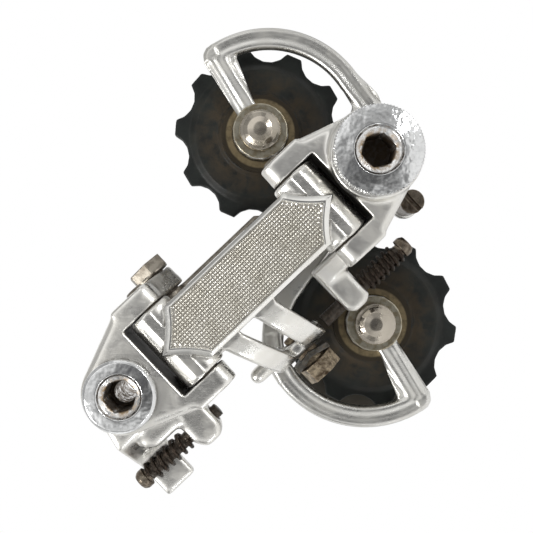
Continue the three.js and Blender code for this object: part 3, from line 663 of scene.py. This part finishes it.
def thread(name, body, start, end, y, z, radius=1.60, pitch=0.7):
    """A screw thread round the link's x direction, from start to end in mm."""
    bm = bmesh.new()
    around, steps = 28, round((end - start) / pitch * 6)
    rings = []
    for i in range(steps + 1):
        x = start + (end - start) * i / steps
        ring = []
        for k in range(around):
            turn = k / around
            phase = (x / pitch + turn) % 1.0
            r = radius - 0.095 * abs(2 * phase - 1) - (0.25 if i in (0, steps) else 0)
            angle = 2 * math.pi * turn
            ring.append(bm.verts.new(link(x, y + r * math.cos(angle), z + r * math.sin(angle))))
        rings.append(ring)
    for a, b in zip(rings, rings[1:]):
        for k in range(around):
            j = (k + 1) % around
            bm.faces.new((a[k], a[j], b[j], b[k]))
    bm.faces.new(list(reversed(rings[0])))
    bm.faces.new(rings[-1])
    bmesh.ops.recalc_face_normals(bm, faces=bm.faces)
    mesh = bpy.data.meshes.new(name)
    bm.to_mesh(mesh)
    bm.free()
    piece = smooth_by_angle(new_object(name, mesh), 50)
    piece.data.materials.append(THREAD)
    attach(piece, body)
    return piece


thread("low_screw_thread", "low_limit_screw", -11.0, 10.4, 0.5, -17.2)
thread("high_screw_thread", "high_limit_screw", 41.1, 64.0, -1.0, -19.2)

# ---------------------------------------------------------------- camera, floor and light
camera = bpy.data.objects.new("camera", bpy.data.cameras.new("camera"))
bpy.context.scene.collection.objects.link(camera)
camera.data.lens = 57.6
camera.data.clip_start, camera.data.clip_end = 0.01, 10
camera.location = (0.0275, -0.192, -0.0295)
right = Vector((0.026, 0, -0.9997))
forward = Vector((0, 1, 0))
up = right.cross(forward)
camera.rotation_euler = Matrix((right, up, -forward)).transposed().to_euler()
bpy.context.scene.camera = camera

world = bpy.data.worlds.new("studio")
bpy.context.scene.world = world
world.use_nodes = True
tree = world.node_tree
tree.nodes.clear()


def world_node(kind, inputs=(), **props):
    made = tree.nodes.new("ShaderNode" + kind)
    for key, value in props.items():
        setattr(made, key, value)
    for key, value in dict(inputs).items():
        if isinstance(value, bpy.types.NodeSocket):
            tree.links.new(value, made.inputs[key])
        else:
            made.inputs[key].default_value = value
    return made


direction = world_node("TexCoord").outputs["Generated"]
parts = world_node("SeparateXYZ", {0: direction})
toward = world_node("MapRange", {"Value": parts.outputs["Y"], "From Min": -1.0, "From Max": 1.0}).outputs[0]
ramp = world_node("ValToRGB", {"Fac": toward})
stops = ramp.color_ramp
stops.elements[0].position, stops.elements[0].color = 0.0, (0.15, 0.15, 0.155, 1)
stops.elements[1].position, stops.elements[1].color = 1.0, (1.0, 1.0, 1.0, 1)
# brightness from the camera's side, which is dark, round to the back
BRIGHTNESS = (
    (0.010, 0.28), (0.03, 0.62), (0.06, 0.95), (0.13, 1.05),
    (0.24, 0.55), (0.36, 0.62), (0.5, 0.80), (0.7, 1.0),
)
for position, value in BRIGHTNESS:
    element = stops.elements.new(position)
    element.color = (value, value * 0.995, value * 0.98, 1)
room_noise = {"Vector": direction, "Scale": 1.7, "Detail": 1.0, "Roughness": 0.4}
room = world_node("TexNoise", room_noise).outputs["Fac"]
room_range = {"Value": room, "From Min": 0.36, "From Max": 0.64, "To Min": 0.45, "To Max": 1.12}
room = world_node("MapRange", room_range).outputs[0]
shaded = world_node("VectorMath", {0: ramp.outputs[0], "Scale": room}, operation="SCALE").outputs[0]
lit = world_node("Background", {"Color": shaded, "Strength": 1.0})
plain = world_node("Background", {"Color": (1, 1, 1, 1), "Strength": 1.0})
ray = world_node("LightPath").outputs["Is Camera Ray"]
both = world_node("MixShader", {0: ray, 1: lit.outputs[0], 2: plain.outputs[0]})
tree.links.new(both.outputs[0], world_node("OutputWorld").inputs["Surface"])


def softbox(name, place, aim, size, watts, colour=(1, 1, 1)):
    lamp = bpy.data.objects.new(name, bpy.data.lights.new(name, "AREA"))
    bpy.context.scene.collection.objects.link(lamp)
    lamp.data.shape = "RECTANGLE"
    lamp.data.size, lamp.data.size_y = size
    lamp.data.energy = watts
    lamp.data.color = colour
    lamp.location = place
    lamp.rotation_euler = (Vector(aim) - Vector(place)).to_track_quat("-Z", "Y").to_euler()
    return lamp


CENTRE = (0.03, 0.0, -0.03)
softbox("key", (0.25, -0.30, -0.28), CENTRE, (0.16, 0.16), 1.6)
softbox("side", (-0.20, -0.25, 0.28), CENTRE, (0.20, 0.12), 1.2, (1, 0.99, 0.97))
softbox("low", (-0.30, -0.16, -0.20), CENTRE, (0.20, 0.10), 0.8, (0.96, 0.98, 1))

floor_mesh = bpy.data.meshes.new("floor")
floor_bm = bmesh.new()
corners = [(-0.6, -0.13), (0.6, -0.13), (0.6, 0.06), (-0.6, 0.06)]
floor_bm.faces.new([floor_bm.verts.new((x, y, -0.112)) for x, y in corners])
floor_bm.to_mesh(floor_mesh)
floor_bm.free()
floor = new_object("floor", floor_mesh)
floor_paint = Paint("pale_floor")
floor.data.materials.append(floor_paint.finish(rgb(0.92, 0.92, 0.92), 0.0, 0.7))

scene = bpy.context.scene
scene.view_settings.view_transform = "Standard"
scene.view_settings.look = "None"
